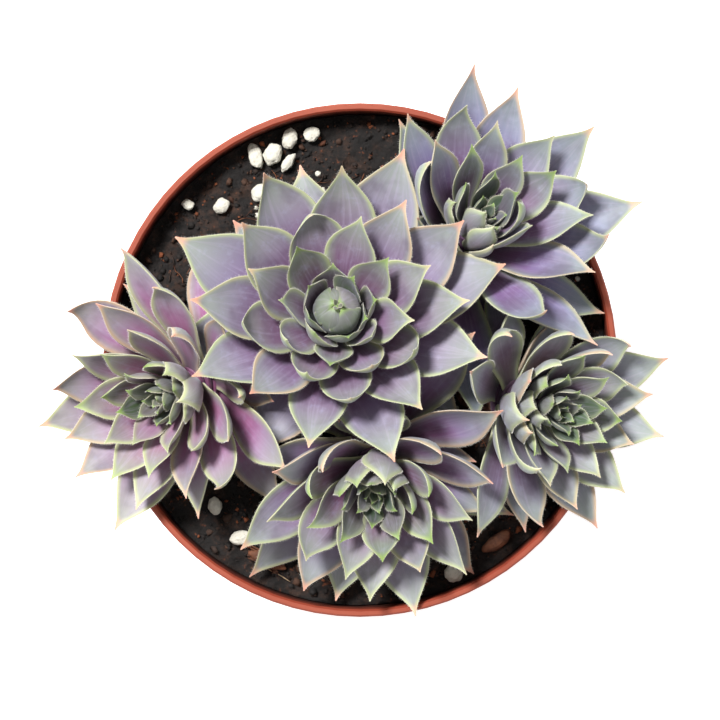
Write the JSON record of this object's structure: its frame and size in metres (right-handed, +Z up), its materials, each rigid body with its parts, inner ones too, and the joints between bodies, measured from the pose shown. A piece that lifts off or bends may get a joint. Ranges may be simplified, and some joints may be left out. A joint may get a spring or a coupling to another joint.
{
  "type": "potted succulent",
  "caption": "Clump of houseleek rosettes with fleshy pointed leaves, growing in soil in a round tapered plastic pot.",
  "frame": {"origin": "on the pot's axis, at the flat underside of its foot, where the pot stands", "axes": "+Z up along the pot's axis; seen from above with +X to the right, the leaning rosettes stand left, top right, bottom and right of the centre one"},
  "size_m": [0.1463, 0.129, 0.1293],
  "materials": {
    "pot": "satin moulded plastic, terracotta coloured",
    "soil": "loose dark potting soil, matt",
    "perlite": "matt porous white grains",
    "bark": "rough fibrous chips",
    "stem": "dry scarred stem",
    "leaf": "fleshy leaf with a waxy bloom, satin"
  },
  "bodies": {
    "root": {"bark_chip_1": "bark", "bark_chip_2": "bark", "bottom_leaves_1": "leaf", "bottom_leaves_2": "leaf", "bottom_leaves_3": "leaf", "bottom_leaves_4": "leaf", "bottom_leaves_5": "leaf", "bottom_leaves_6": "leaf", "bottom_leaves_7": "leaf", "bottom_leaves_8": "leaf", "bottom_stem": "stem", "centre_leaves_1": "leaf", "centre_leaves_2": "leaf", "centre_leaves_3": "leaf", "centre_leaves_4": "leaf", "centre_leaves_5": "leaf", "centre_leaves_6": "leaf", "centre_leaves_7": "leaf", "centre_leaves_8": "leaf", "centre_stem": "stem", "left_leaves_1": "leaf", "left_leaves_2": "leaf", "left_leaves_3": "leaf", "left_leaves_4": "leaf", "left_leaves_5": "leaf", "left_leaves_6": "leaf", "left_leaves_7": "leaf", "left_leaves_8": "leaf", "left_stem": "stem", "perlite_1": "perlite", "perlite_10": "perlite", "perlite_11": "perlite", "perlite_2": "perlite", "perlite_3": "perlite", "perlite_4": "perlite", "perlite_5": "perlite", "perlite_6": "perlite", "perlite_7": "perlite", "perlite_8": "perlite", "perlite_9": "perlite", "pot": "pot", "right_leaves_1": "leaf", "right_leaves_2": "leaf", "right_leaves_3": "leaf", "right_leaves_4": "leaf", "right_leaves_5": "leaf", "right_leaves_6": "leaf", "right_leaves_7": "leaf", "right_leaves_8": "leaf", "right_stem": "stem", "soil": "soil", "top_leaves_1": "leaf", "top_leaves_2": "leaf", "top_leaves_3": "leaf", "top_leaves_4": "leaf", "top_leaves_5": "leaf", "top_leaves_6": "leaf", "top_leaves_7": "leaf", "top_leaves_8": "leaf", "top_stem": "stem"}
  },
  "joints": []
}
